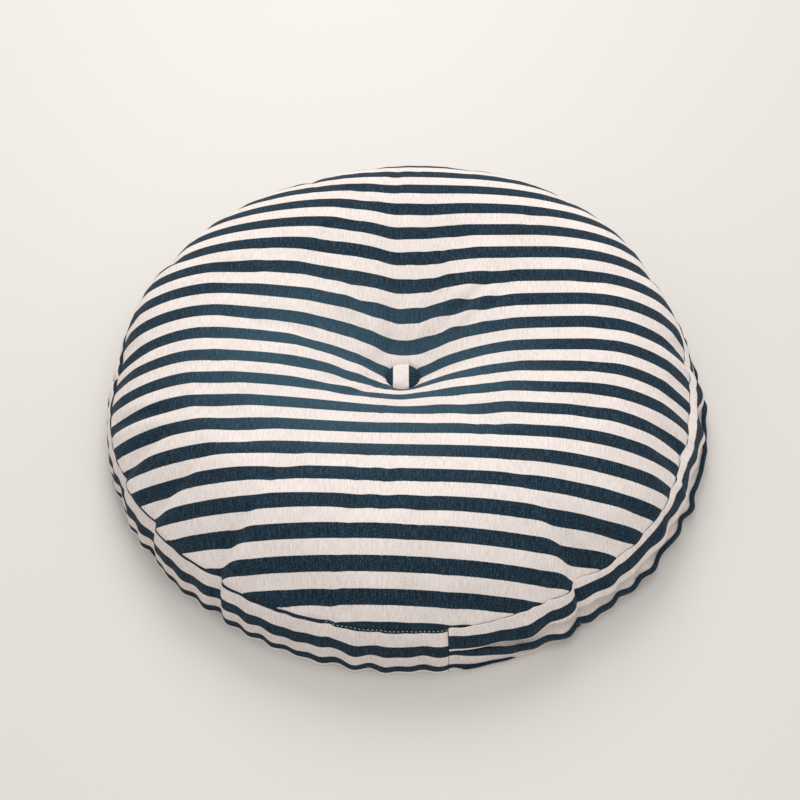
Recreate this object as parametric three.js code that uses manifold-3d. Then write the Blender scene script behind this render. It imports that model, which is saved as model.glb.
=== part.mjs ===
// Round floor cushion: a boxed cover in striped cloth with a lapped zip in its band, a fibre pad in an
// inner bag, and one button each side tied through the middle with twine.
// Millimetres, +Z up. The origin is on the floor under the cushion's centre. The stripes of the cloth
// run along X, -Y is the front, and angles round the cushion are counted from +X towards +Y.

import * as THREE from "three";
import { mergeVertices } from "three/addons/utils/BufferGeometryUtils.js";
import Module from "manifold-3d";

const wasm = await Module();
wasm.setup();

// ---- driving dimensions ----

const RADIUS = 250; // of both edge seams
const CREST = { r: 155, z: 100 }; // the highest ring of the puffed top
const TOP_SEAM_Z = 48;
const BOTTOM_SEAM_Z = 5;
const BULGE = 2; // how far the band swells between its seams
const SEAT = { r: 15, z: 54 }; // where the top button bears on the cloth
const UNDER_SEAT = { r: 15, z: 15 }; // the same underneath
const REST = { inner: 62, outer: 214 }; // the ring that lies flat on the floor
const FUNNEL = 52; // how quickly the tuft opens out

const CLOTH = 1.2;
const BAG = 0.8;
const GAP = 0.3; // between pieces that touch
const PAD_INSET = 3.6; // from the cover's outside to the inner bag
const PAD_RADIUS = 244; // leaves room for the zip behind the band
const HOLE_R = 3.2; // the needle hole that the button's eye stands in

const FACETS = 40; // round the whole cushion
const JOIN_FRONT = -82; // degrees, the upright seams between plain band and zip panel
const JOIN_REAR = 80;

const ZIP = {
  z: 26, // the line where the two coils meet
  opening: 9.2, // between the two cloth edges
  split: 1.8, // between the coils
  coil: { inner: 248.2, outer: 249.8, height: 1.5 },
  tape: { inner: 247.2, outer: 247.9, height: 11 },
  from: JOIN_FRONT + 3,
  to: JOIN_REAR - 3,
};
const LIP = { height: 4.4, out: 3 }; // the standing fold along the lower strip

const SLIDER = { length: 9, height: 6.4, plate: 1.2, at: ZIP.to - 7 };
const PIN = { r: 253.4, radius: 0.5, height: 5.2 };
const PULL = { length: 19, height: 3.2, thickness: 1.2, eye: 1.6, hole: 0.85 };

const BUTTON = { radius: 14.5, rise: 6.2, wrap: 3, back: 0.8 };
const EYE = { radius: 2, wire: 0.4 };
const TWINE = { radius: 0.5, spread: 1.4 };

// ---- materials ----

const finish = (color, roughness, metalness = 0) =>
  new THREE.MeshStandardMaterial({ color, roughness, metalness });

const STRIPED = finish(0x8a8f98, 0.95);
const NAVY = finish(0x24384f, 0.95);
const LINING = finish(0xd9d4c8, 0.9);
const FIBRE = finish(0xf1efe9, 1);
const ZIP_TAPE = finish(0x26344a, 0.9);
const ZIP_COIL = finish(0x202c40, 0.6);
const STRING = finish(0xe4dcc8, 0.9);
const STEEL = finish(0x9a9ea3, 0.35, 1);

const cushion = new THREE.Group();

function add(name, geometry, material, parent = cushion) {
  const mesh = new THREE.Mesh(geometry, material);
  mesh.name = name;
  parent.add(mesh);
}

// ---- solids ----

// A closed outline of [r, z] points, listed clockwise, turned all the way about Z.
function turned(outline, facets = FACETS) {
  const points = [...outline, outline[0]].map(([r, z]) => new THREE.Vector2(r, z));
  return new THREE.LatheGeometry(points.reverse(), facets).rotateX(Math.PI / 2);
}

// An outline that starts and ends on the axis, listed clockwise, turned about Z.
function turnedSolid(outline, facets) {
  const points = outline.map(([r, z]) => new THREE.Vector2(r, z));
  return new THREE.LatheGeometry(points.reverse(), facets).rotateX(Math.PI / 2);
}

// A section of [r, z] points carried round Z from one angle to another, with closed ends.
function arc(section, from, to) {
  const steps = Math.ceil((to - from) / 7);
  const shape = new THREE.Shape(section.map(([r, z]) => new THREE.Vector2(r, -z)));
  const solid = new THREE.ExtrudeGeometry(shape, { steps, depth: to - from, bevelEnabled: false });
  const p = solid.getAttribute("position");
  for (let i = 0; i < p.count; i++) {
    const [r, z] = [p.getX(i), -p.getY(i)];
    const angle = THREE.MathUtils.degToRad(from + p.getZ(i));
    p.setXYZ(i, r * Math.cos(angle), r * Math.sin(angle), z);
  }
  return solid;
}

// A round bar along a path.
function bar(path, radius, steps) {
  const section = new THREE.Shape().absarc(0, 0, radius, 0, 2 * Math.PI);
  return new THREE.ExtrudeGeometry(section, { extrudePath: path, steps, curveSegments: 4 });
}

function joined(...geometries) {
  const solids = geometries.map((geometry) => {
    const bare = geometry.clone().deleteAttribute("normal").deleteAttribute("uv");
    const { attributes, index } = mergeVertices(bare, 1e-4);
    const mesh = { numProp: 3, vertProperties: attributes.position.array, triVerts: index.array };
    return new wasm.Manifold(new wasm.Mesh(mesh));
  });
  const { vertProperties, triVerts } = solids.reduce((whole, piece) => whole.add(piece)).getMesh();
  const result = new THREE.BufferGeometry();
  result.setAttribute("position", new THREE.BufferAttribute(vertProperties, 3));
  return result.setIndex(new THREE.BufferAttribute(triVerts, 1));
}

// ---- outlines, all from the centre outwards ----

const fractions = (count) => Array.from({ length: count + 1 }, (_, i) => i / count);

// From a button's seat the cloth climbs steeply, then eases out to the crest.
function tuft(count, seat, crest) {
  const climb = (r) => 1 - Math.exp((seat.r - r) / FUNNEL);
  return fractions(count).map((t) => {
    const r = seat.r + (crest.r - seat.r) * t ** 1.4;
    return [r, seat.z + ((crest.z - seat.z) * climb(r)) / climb(crest.r)];
  });
}

// A quarter ellipse from the crest out and down to the edge.
function shoulder(count, crest, edge) {
  return fractions(count).slice(1).map((t) => {
    const angle = (t * Math.PI) / 2;
    const r = crest.r + (edge.r - crest.r) * Math.sin(angle);
    return [r, edge.z + (crest.z - edge.z) * Math.cos(angle)];
  });
}

// The cover's top, or a layer that far inside it.
function top(inset, radius, fineness) {
  const seat = { r: SEAT.r, z: SEAT.z - inset };
  const crest = { r: CREST.r, z: CREST.z - inset };
  const edge = { r: radius, z: TOP_SEAM_Z + GAP };
  const climb = tuft(4 + fineness, seat, crest);
  return [[HOLE_R, seat.z], ...climb, ...shoulder(3 + fineness, crest, edge)];
}

// The cover's underside, or a layer that far inside it: a shallow tuft, the flat ring, a curled edge.
function underside(inset, radius) {
  const seat = { r: UNDER_SEAT.r, z: UNDER_SEAT.z + inset };
  const flat = { r: REST.inner, z: inset };
  const lift = BOTTOM_SEAM_Z - GAP - CLOTH;
  const curl = fractions(3).map((t) => {
    const angle = (t * Math.PI) / 2;
    return [REST.outer + (radius - REST.outer) * Math.sin(angle), inset + lift * (1 - Math.cos(angle))];
  });
  return [[HOLE_R, seat.z], ...tuft(3, seat, flat), ...curl];
}

// ---- cover ----

const TOP = top(0, RADIUS, 3);
const TOP_INSIDE = top(CLOTH, RADIUS - CLOTH, 3);
add("top_panel", turned([...TOP, ...TOP_INSIDE.reverse()]), STRIPED);

const UNDER = underside(0, RADIUS);
const UNDER_INSIDE = underside(CLOTH, RADIUS - CLOTH);
add("bottom_panel", turned([...UNDER_INSIDE, ...UNDER.reverse()]), STRIPED);

// A strip of the band between two heights. It follows the band's swell.
function strip(low, high) {
  const swell = (z) => {
    const up = (z - BOTTOM_SEAM_Z) / (TOP_SEAM_Z - BOTTOM_SEAM_Z);
    return RADIUS + BULGE * Math.sin(Math.PI * up);
  };
  const heights = fractions(3).map((t) => low + (high - low) * t);
  const outside = heights.map((z) => [swell(z), z]);
  const inside = heights.map((z) => [swell(z) - CLOTH, z]);
  return [...outside, ...inside.reverse()];
}

const BAND = { low: BOTTOM_SEAM_Z, high: TOP_SEAM_Z - GAP };
const LOWER_EDGE = ZIP.z - ZIP.opening / 2;
const UPPER_EDGE = ZIP.z + ZIP.opening / 2;
const SEWN = 0.1; // degrees of clearance at an upright seam

add("band_plain", arc(strip(BAND.low, BAND.high), JOIN_REAR + SEWN, JOIN_FRONT + 360 - SEWN), STRIPED);
add("zip_band_upper", arc(strip(UPPER_EDGE, BAND.high), JOIN_FRONT, JOIN_REAR), STRIPED);

// The lower strip ends in a standing fold that half hides the zip.
const LOWER_STRIP = strip(BAND.low, LOWER_EDGE);
const FOLD = [
  [RADIUS + LIP.out, LOWER_EDGE - LIP.height],
  [RADIUS + LIP.out + CLOTH, LOWER_EDGE - LIP.height / 2],
  [RADIUS + LIP.out, LOWER_EDGE],
];
LOWER_STRIP.splice(3, 1, ...FOLD);
add("zip_band_lower", arc(LOWER_STRIP, JOIN_FRONT, JOIN_REAR), STRIPED);

// ---- pad ----

const PAD_TOP = top(PAD_INSET, PAD_RADIUS, 0);
const PAD_UNDER = underside(PAD_INSET, PAD_RADIUS);
const BAG_TOP = top(PAD_INSET + BAG, PAD_RADIUS - BAG, 0);
const BAG_UNDER = underside(PAD_INSET + BAG, PAD_RADIUS - BAG);
const bagInside = [...BAG_UNDER, ...[...BAG_TOP].reverse()];
add("inner_bag", turned([...PAD_TOP, ...[...PAD_UNDER].reverse(), ...bagInside]), LINING);

const FILL = PAD_INSET + BAG + GAP;
const FILL_RADIUS = PAD_RADIUS - BAG - GAP;
add("filling", turned([...top(FILL, FILL_RADIUS, 0), ...underside(FILL, FILL_RADIUS).reverse()]), FIBRE);

// ---- zip, laid along the band behind its opening ----

const block = ({ inner, outer }, low, high) => [[inner, low], [outer, low], [outer, high], [inner, high]];
const ring = (part, low, high, from = ZIP.from, to = ZIP.to) => arc(block(part, low, high), from, to);

for (const [side, way] of [["upper", 1], ["lower", -1]]) {
  const edge = ZIP.z + (way * ZIP.split) / 2;
  const span = (height) => [edge, edge + way * height].sort((a, b) => a - b);
  add(`zip_tape_${side}`, ring(ZIP.tape, ...span(ZIP.tape.height)), ZIP_TAPE);
  add(`zip_coil_${side}`, ring(ZIP.coil, ...span(ZIP.coil.height)), ZIP_COIL);
}

// A stop is a small clip across both coils.
for (const [name, from] of [["zip_stop_front", ZIP.from], ["zip_stop_rear", ZIP.to - 0.7]]) {
  const clip = { inner: ZIP.coil.outer + GAP, outer: ZIP.coil.outer + GAP + 0.9 };
  add(name, ring(clip, ZIP.z - 2.2, ZIP.z + 2.2, from, from + 0.7), STEEL);
}

// ---- slider and pull, made where +X meets the band and then turned to their place ----

const box = (x, y, z, [cx, cy, cz]) => new THREE.BoxGeometry(x, y, z).translate(cx, cy, cz);

function slider() {
  const { length, height, plate } = SLIDER;
  const front = ZIP.coil.outer + GAP + plate / 2;
  const back = ZIP.tape.inner - 0.8 - plate / 2; // clears the tape's facets
  const post = ZIP.split / 2;
  const ears = [-1, 1].map((way) => {
    const z = ZIP.z + (way * (PIN.height - 0.8)) / 2;
    return box(PIN.r + PIN.radius - front, 2, 0.8, [(PIN.r + PIN.radius + front) / 2, 0, z]);
  });
  const pin = new THREE.CylinderGeometry(PIN.radius, PIN.radius, PIN.height - 0.4, 12);
  return joined(
    box(plate, length, height, [front, 0, ZIP.z]),
    box(plate, length, height, [back, 0, ZIP.z]),
    box(front - back, 2.4, post, [(front + back) / 2, 0, ZIP.z]),
    ...ears,
    pin.rotateX(Math.PI / 2).translate(PIN.r, 0, ZIP.z),
  );
}

// The pull: an eye on the slider's pin and a flat tab lying along the zip.
function pull() {
  const half = PULL.thickness / 2;
  const start = Math.asin(half / PULL.eye);
  const outline = new THREE.Shape();
  outline.moveTo(half, PULL.length);
  outline.lineTo(-half, PULL.length);
  outline.absarc(0, 0, PULL.eye, Math.PI / 2 + start, Math.PI / 2 - start + 2 * Math.PI, false);
  outline.closePath();
  outline.holes.push(new THREE.Path().absarc(0, 0, PULL.hole, 0, 2 * Math.PI));
  const tab = { depth: PULL.height, bevelEnabled: false, curveSegments: 8 };
  return new THREE.ExtrudeGeometry(outline, tab).translate(PIN.r, 0, ZIP.z - PULL.height / 2);
}

const carriage = new THREE.Group();
carriage.rotation.z = THREE.MathUtils.degToRad(SLIDER.at);
cushion.add(carriage);
add("zip_slider", slider(), STEEL, carriage);
add("zip_pull", pull(), STEEL, carriage);

// ---- covered buttons: built face up at the origin, one placed each side ----

// The cloth goes over a domed mould and is gathered in under its edge.
function buttonCover() {
  const { radius, rise, wrap } = BUTTON;
  const dome = (r, base, height) =>
    fractions(4).map((t) => {
      const angle = (t * Math.PI) / 2;
      return [r * Math.sin(angle), base + height * Math.cos(angle)];
    });
  const under = CLOTH;
  const outside = [...dome(radius, rise / 3, (2 * rise) / 3), [radius - 0.8, 0], [radius - wrap, 0]];
  const inside = dome(radius - CLOTH, rise / 3, (2 * rise) / 3 - CLOTH);
  return turnedSolid([...outside, [radius - wrap, under], [radius - CLOTH, under], ...inside.reverse()], 24);
}

function buttonMould() {
  const { radius, rise } = BUTTON;
  const r = radius - CLOTH - GAP;
  const base = CLOTH + GAP;
  const height = rise - CLOTH - 2 * GAP - base;
  const dome = fractions(3).map((t) => {
    const angle = (t * Math.PI) / 2;
    return [r * 0.96 * Math.sin(angle), base + height * Math.cos(angle)];
  });
  return turnedSolid([...dome, [0, base]], 24);
}

function buttonBack() {
  const r = BUTTON.radius - BUTTON.wrap - GAP;
  return turnedSolid([[0, BUTTON.back], [r, BUTTON.back], [r, 0], [0, 0]], 24);
}

function buttonEye() {
  const eye = new THREE.TorusGeometry(EYE.radius, EYE.wire, 6, 16).rotateX(Math.PI / 2);
  return eye.translate(0, 0, -GAP - EYE.radius - EYE.wire);
}

function button(name, z, faceDown) {
  const place = new THREE.Group();
  place.position.z = z;
  place.rotation.x = faceDown ? Math.PI : 0;
  cushion.add(place);
  add(`${name}_cover`, buttonCover(), NAVY, place);
  add(`${name}_mould`, buttonMould(), STEEL, place);
  add(`${name}_back`, buttonBack(), STEEL, place);
  add(`${name}_eye`, buttonEye(), STEEL, place);
}

button("top_button", SEAT.z + GAP, false);
button("bottom_button", UNDER_SEAT.z - GAP, true);

// ---- twine: a hairpin through the top eye, then both strands down to a knot over the lower eye ----

const EYE_DEPTH = 2 * (EYE.radius + EYE.wire) + 2 * GAP;
const HAIRPIN_END = SEAT.z - EYE_DEPTH - 4;
const KNOT = { z: UNDER_SEAT.z + EYE_DEPTH + 1.8, radius: 1.5 };

function hairpin() {
  const across = TWINE.spread;
  const bend = SEAT.z - EYE.radius - EYE.wire - across;
  const leg = (y) => new THREE.Vector3(0, y, HAIRPIN_END);
  const path = new THREE.CurvePath();
  path.add(new THREE.LineCurve3(leg(-across), new THREE.Vector3(0, -across, bend)));
  const over = [[-across, 0], [-across, across * 1.3], [across, across * 1.3], [across, 0]];
  path.add(new THREE.CubicBezierCurve3(...over.map(([y, up]) => new THREE.Vector3(0, y, bend + up))));
  path.add(new THREE.LineCurve3(new THREE.Vector3(0, across, bend), leg(across)));
  return bar(path, TWINE.radius, 16);
}

add("twine_hairpin", hairpin(), STRING);

const STRAND = { low: KNOT.z + KNOT.radius + GAP, high: HAIRPIN_END - GAP };
for (const [side, y] of [["front", -TWINE.spread], ["rear", TWINE.spread]]) {
  const strand = new THREE.CylinderGeometry(TWINE.radius, TWINE.radius, STRAND.high - STRAND.low, 8);
  const middle = (STRAND.high + STRAND.low) / 2;
  add(`twine_strand_${side}`, strand.rotateX(Math.PI / 2).translate(0, y, middle), STRING);
}
add("twine_knot", new THREE.SphereGeometry(KNOT.radius, 12, 8).translate(0, 0, KNOT.z), STRING);

export default cushion;
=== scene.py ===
"""Looks of the round striped floor cushion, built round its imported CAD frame.

The cover is laid out as it is sewn: a round top and bottom, a plain band and the two strips of a lapped
zip panel. Each cloth piece carries its own flat pattern as a UV map in metres, and the stripes and the
weave are drawn on that, so they follow the cloth wherever it is pulled.
"""

import math

import bmesh
import bpy
import numpy as np
from mathutils import Matrix, Vector


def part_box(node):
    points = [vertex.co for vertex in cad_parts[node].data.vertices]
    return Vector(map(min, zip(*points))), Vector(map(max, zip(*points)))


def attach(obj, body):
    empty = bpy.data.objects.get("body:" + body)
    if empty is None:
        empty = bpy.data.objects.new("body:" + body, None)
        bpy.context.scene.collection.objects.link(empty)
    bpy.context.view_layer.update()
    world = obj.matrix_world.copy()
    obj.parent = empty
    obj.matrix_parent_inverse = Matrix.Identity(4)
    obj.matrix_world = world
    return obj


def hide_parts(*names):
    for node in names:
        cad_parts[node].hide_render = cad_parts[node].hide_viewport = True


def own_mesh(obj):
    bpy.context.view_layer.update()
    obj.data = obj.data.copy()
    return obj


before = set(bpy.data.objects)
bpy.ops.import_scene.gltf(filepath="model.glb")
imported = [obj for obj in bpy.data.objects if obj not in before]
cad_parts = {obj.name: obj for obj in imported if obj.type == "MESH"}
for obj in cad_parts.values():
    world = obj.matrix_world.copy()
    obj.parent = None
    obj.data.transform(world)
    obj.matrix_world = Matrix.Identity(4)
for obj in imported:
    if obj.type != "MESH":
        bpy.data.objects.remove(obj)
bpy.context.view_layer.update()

MM = 0.001

# ---- what the frame says ----

TOP_LOW, TOP_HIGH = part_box("top_panel")
BUTTON_LOW, BUTTON_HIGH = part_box("top_button_cover")
UNDER_BUTTON_LOW, UNDER_BUTTON_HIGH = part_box("bottom_button_cover")
RADIUS = TOP_HIGH[0]
CROWN = TOP_HIGH[2]
TOP_SEAM = TOP_LOW[2]
SEAT = BUTTON_LOW[2]
BUTTON_RADIUS = BUTTON_HIGH[0]

# ---- cloth ----

STRIPE = 12.5 * MM
PERIOD = 2 * STRIPE
CREST_RADIUS = 155 * MM
FUNNEL = 52 * MM  # how quickly the tuft opens out
SEAM_TUCK = 0.4 * MM  # both edge seams draw in this far from the CAD radius

JOIN_FRONT = math.radians(-82)
JOIN_REAR = math.radians(80)

rng = np.random.RandomState(7)


# ---- small helpers ----


def wave(theta, seed, lowest, highest, fall=0.8):
    """A smooth closed ripple round the cushion, about 1 high at most."""
    draw = np.random.RandomState(seed)
    total, size = np.zeros_like(theta), 0.0
    for turns in range(lowest, highest + 1):
        share = (lowest / turns) ** fall
        total += share * np.sin(turns * theta + draw.uniform(0, 2 * math.pi))
        size += share**2
    return total / math.sqrt(size * 2)


def bump(distance, width):
    return np.exp(-((distance / width) ** 2))


def turn_from(theta, centre):
    """The signed angle from centre to theta, the short way round."""
    return (theta - centre + math.pi) % (2 * math.pi) - math.pi


def smooth(x, low, high):
    t = np.clip((x - low) / (high - low), 0, 1)
    return t * t * (3 - 2 * t)


def new_piece(bm, name):
    mesh = bpy.data.meshes.new(name)
    bm.to_mesh(mesh)
    bm.free()
    piece = bpy.data.objects.new(name, mesh)
    bpy.context.scene.collection.objects.link(piece)
    return piece


def points_of(piece):
    flat = np.empty(len(piece.data.vertices) * 3)
    piece.data.vertices.foreach_get("co", flat)
    return flat.reshape(-1, 3)


def move_points(piece, points):
    piece.data.vertices.foreach_set("co", np.asarray(points, np.float32).ravel())
    piece.data.update()


def lay_pattern(piece, u, v):
    """Writes the flat pattern: U runs with the stripes, V across them, in metres."""
    corners = np.empty(len(piece.data.loops), np.int32)
    piece.data.loops.foreach_get("vertex_index", corners)
    layer = piece.data.uv_layers.new(name="pattern")
    uv = np.stack([u[corners], v[corners]], axis=1)
    layer.data.foreach_set("uv", uv.astype(np.float32).ravel())


def shade_smooth(piece):
    piece.data.polygons.foreach_set("use_smooth", np.ones(len(piece.data.polygons), bool))


def subdivide(piece, levels):
    mod = piece.modifiers.new("fine", "SUBSURF")
    mod.levels = mod.render_levels = levels


def thicken(piece, thickness, offset=-1):
    mod = piece.modifiers.new("cloth", "SOLIDIFY")
    mod.thickness, mod.offset = thickness, offset


# ---- the sewn edges: gathers and pleats, shared by the panels and the band ----

# sharp pleats: (angle in degrees, depth in mm, length of the soft side in mm, which side is the sharp one)
PLEATS = [
    (204, 3.8, 16, 1), (216.5, 6.6, 20, 1), (234.5, 7.0, 22, 1), (257, 2.0, 14, 1), (303, 8.0, 22, -1),
    (336, 3.0, 18, -1), (4, 2.6, 18, -1), (24, 3.4, 20, -1), (50, 2.6, 18, -1), (74, 1.6, 20, -1),
    (112, 2.8, 20, 1), (150, 3.4, 22, 1), (178, 2.4, 16, 1),
]
SHARP_SIDE = 1.3 * MM  # length of a pleat's sharp side at the seam
BLUNTING = 0.12  # how much longer that side gets for each unit of distance from the seam
WIDENING = 0.9  # how much a gather widens over its own reach

# where the top seam stands out or draws in: (angle and spread in degrees, how far out in mm)
FULLER = [(52, 28, 3.5), (200, 20, 2.0), (-10, 21, -5.5), (177, 12, -6.0)]
SEAM_WANDER = 1.0 * MM  # slow waves of both edge seams, in and out
SEAM_RIPPLE = 1.5 * MM  # short waves of the top seam on the zip side
RIPPLE_AT, RIPPLE_SPREAD = -25, 45  # in degrees
SEAM_DROP = 0.6 * MM  # how far the top seam lies under the CAD edge
SEAM_ROLL = 1.2 * MM  # its waves up and down

FOOT_OUT, FOOT_MORE = 2.5 * MM, 5.5 * MM  # how far the foot stands out, and how much more on the zip side
FOOT_AT, FOOT_SPREAD = math.radians(-36), math.radians(72)
FOOT_TUCK = 1.0 * MM  # the bottom seam draws in this far from the CAD radius
FOOT_HIGH, FOOT_ROLL = 1.8 * MM, 0.8 * MM  # its height, and its waves up and down


def make_gathers():
    """Small puckers all the way round: [angle, width, depth, reach up the cloth]."""
    gathers, angle = [], 0.0
    while angle < 360:
        width, depth, reach = rng.uniform(0.6, 1.4), rng.uniform(0.3, 1.5), rng.uniform(8, 22)
        gathers.append((math.radians(angle), math.radians(width), depth * MM, reach * MM))
        angle += rng.uniform(2.6, 6.0)
    return gathers


GATHERS = make_gathers()


def gathered(theta, from_seam, pleat_reach=22 * MM):
    """How far the cloth is drawn in at this angle and distance from the seam."""
    depth = np.zeros_like(theta)
    for centre, width, size, reach in GATHERS:
        spread = width * (1 + WIDENING * from_seam / reach)
        depth += size * bump(turn_from(theta, centre), spread) * np.exp(-from_seam / reach)
    for degrees, size, run, way in PLEATS:
        lean = turn_from(theta, math.radians(degrees)) * RADIUS * way
        soft_side = np.exp(np.minimum(lean, 0) / (run * MM))
        sharp_side = np.exp(-np.maximum(lean, 0) / (SHARP_SIDE + BLUNTING * from_seam))
        depth += size * MM * soft_side * sharp_side * np.exp(-from_seam / pleat_reach)
    return depth


def around(theta, degrees, spread):
    """1 at that angle, falling away over the spread: for the places where the cushion is fuller."""
    return bump(turn_from(theta, math.radians(degrees)), math.radians(spread))


def top_seam(theta):
    """Radius and height of the seam between the top panel and the band."""
    fuller = sum(out * MM * around(theta, degrees, spread) for degrees, spread, out in FULLER)
    fuller = fuller + SEAM_RIPPLE * wave(theta, 35, 30, 56, 0.3) * around(theta, RIPPLE_AT, RIPPLE_SPREAD)
    radius = RADIUS - SEAM_TUCK + SEAM_WANDER * wave(theta, 3, 3, 9) + fuller
    z = TOP_SEAM - SEAM_DROP + SEAM_ROLL * wave(theta, 4, 3, 11)
    return radius - gathered(theta, np.zeros_like(theta)), z


def foot_out(theta):
    """How far the foot of the band stands out beyond its top: most on the zip side, towards the front."""
    return FOOT_OUT + FOOT_MORE * np.exp(-((turn_from(theta, FOOT_AT) / FOOT_SPREAD) ** 4))


def bottom_seam(theta):
    """Radius and height of the seam between the band and the bottom panel."""
    radius = RADIUS - FOOT_TUCK + foot_out(theta) + SEAM_WANDER * wave(theta, 5, 3, 9)
    return radius, FOOT_HIGH + FOOT_ROLL * wave(theta, 6, 4, 12)


# ---- top panel ----

RINGS_INSIDE, RINGS_OUTSIDE, SPOKES = 46, 44, 300  # rings inside the crest and on the shoulder
CREST_LIFT, CREST_TILT, CREST_ROLL = 1.0 * MM, 1.5 * MM, 1.2 * MM  # above the CAD crown, to the back, in waves
CREST_WANDER = 4 * MM  # slow waves of the crest, in and out
CREST_BULGE = 12 * MM  # how much further out the crest lies at the right back
RING_BIAS = 1.25  # above 1 it draws the inner rings together near the button
HELD = 0.9  # share of the button's radius inside which the cloth lies flat
TUCKED = 1.2 * MM  # how far the cloth lies below the button's lower edge

VALLEY = math.radians(91)
VALLEY_DEPTH, VALLEY_FLOOR, VALLEY_SIDE, VALLEY_SPLAY = 8.0 * MM, 9 * MM, 46 * MM, 0.12
VALLEY_DEEPEST, VALLEY_LONG = 75 * MM, 45 * MM  # from the centre, and how far its deepest part runs
SWELL, SWELL_SIZE = 3.5 * MM, 46 * MM  # a soft rise in front of the button, to its right
SWELL_X, SWELL_Y = 52 * MM, -46 * MM
COLLAR, COLLAR_FALL = 5.0 * MM, 14 * MM  # the cloth crowds up round the button, most at the front
SPREAD_DRAW = 9 * MM  # the seam's own draw dies away over this distance


def spin_round(bm, row, steps):
    """Turns a row of points all the way round Z and joins it up."""
    edges = [bm.edges.new(pair) for pair in zip(row, row[1:])]
    bmesh.ops.spin(bm, geom=row + edges, cent=(0, 0, 0), axis=(0, 0, 1), angle=2 * math.pi,
                   steps=steps, use_merge=True)
    bmesh.ops.remove_doubles(bm, verts=bm.verts, dist=1e-6)


def turned(radius, z, theta):
    """Points from their radius, height and angle."""
    return np.stack([radius * np.cos(theta), radius * np.sin(theta), z], axis=1)


def disc_sheet(name, rings, spokes):
    """A flat round sheet of one unit radius, spun from a row of points."""
    bm = bmesh.new()
    spin_round(bm, [bm.verts.new((i / rings, 0, 0)) for i in range(rings + 1)], spokes)
    bmesh.ops.recalc_face_normals(bm, faces=bm.faces)
    if sum(f.normal.z for f in bm.faces) < 0:
        bmesh.ops.reverse_faces(bm, faces=bm.faces)
    return new_piece(bm, name)


def edge_round(theta):
    """How much of the shoulder is a round edge, the rest being a slope: the back is the fuller side."""
    back = smooth(np.sin(theta), -0.15, 0.55)
    return 0.35 + back * (0.45 + 0.3 * around(theta, 45, 50))


def shoulder(over, rounded):
    """The fall from the crest (over is 0) to the seam (1): a long slope that turns down at the very edge."""
    return (1 - rounded) * np.cos(over * math.pi / 2) + rounded * np.sqrt(1 - over**2)


def top_shape(share, theta):
    """Where the top cloth lies: share runs 0 at the button to 1 at the seam."""
    seam_r, seam_z = top_seam(theta)
    split = RINGS_INSIDE / (RINGS_INSIDE + RINGS_OUTSIDE)
    inner = np.clip(share / split, 0, 1)
    outer = np.clip((share - split) / (1 - split), 0, 1)

    crest_z = CROWN + CREST_LIFT + CREST_TILT * np.sin(theta) + CREST_ROLL * wave(theta, 8, 2, 6)
    crest_r = CREST_RADIUS + CREST_WANDER * wave(theta, 9, 2, 5) + CREST_BULGE * around(theta, 45, 40)
    radius = crest_r * inner**RING_BIAS
    climb = 1 - np.exp(-np.clip(radius - BUTTON_RADIUS * HELD, 0, None) / FUNNEL)
    full = 1 - np.exp(-(crest_r - BUTTON_RADIUS * HELD) / FUNNEL)
    seat = SEAT - TUCKED
    z = seat + (crest_z - seat) * climb / full

    over = np.sin(outer * math.pi / 2)
    on_edge = outer > 0
    radius = np.where(on_edge, crest_r + (seam_r - crest_r) * over, radius)
    z = np.where(on_edge, seam_z + (crest_z - seam_z) * shoulder(over, edge_round(theta)), z)
    return radius, z


def fold(x, y, start, end, width, depth):
    """A soft crease along a line. It fades at both ends, and has a low ridge on either side."""
    ax, ay, bx, by = (v * MM for v in (*start, *end))
    length = math.hypot(bx - ax, by - ay)
    dx, dy = (bx - ax) / length, (by - ay) / length
    along = ((x - ax) * dx + (y - ay) * dy) / length
    aside = (x - ax) * -dy + (y - ay) * dx
    fade = smooth(along, -0.12, 0.2) * (1 - smooth(along, 0.55, 1.15))
    w = width * MM
    ridges = RIDGE * bump(aside - RIDGE_ASIDE * w, w), RIDGE * bump(aside + RIDGE_ASIDE * w, w)
    return depth * MM * fade * (bump(aside, w) - ridges[0] - ridges[1])


# creases in the top: (start, end, width, depth), in mm from the centre
CREASES = [
    ((15, 24), (82, 78), 5.5, 2.6), ((22, 16), (96, 62), 5.0, 1.3), ((8, 30), (40, 120), 6.0, 1.3),
    ((-12, 26), (-58, 96), 7.0, 1.6), ((-18, -6), (-70, -36), 5.0, 2.0), ((-10, -18), (-52, -44), 4.0, 1.5),
    ((20, -4), (92, -22), 7.0, 0.8), ((-22, 6), (-104, 18), 8.0, 1.2), ((14, -18), (54, -62), 7.0, 1.0),
    ((-240, -52), (-176, -66), 5.0, 3.2), ((-2, 22), (-10, 190), 10.0, 1.6),
]
RIDGE, RIDGE_ASIDE = 0.45, 1.7  # height and distance of a crease's ridges, in its own depths and widths


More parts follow.
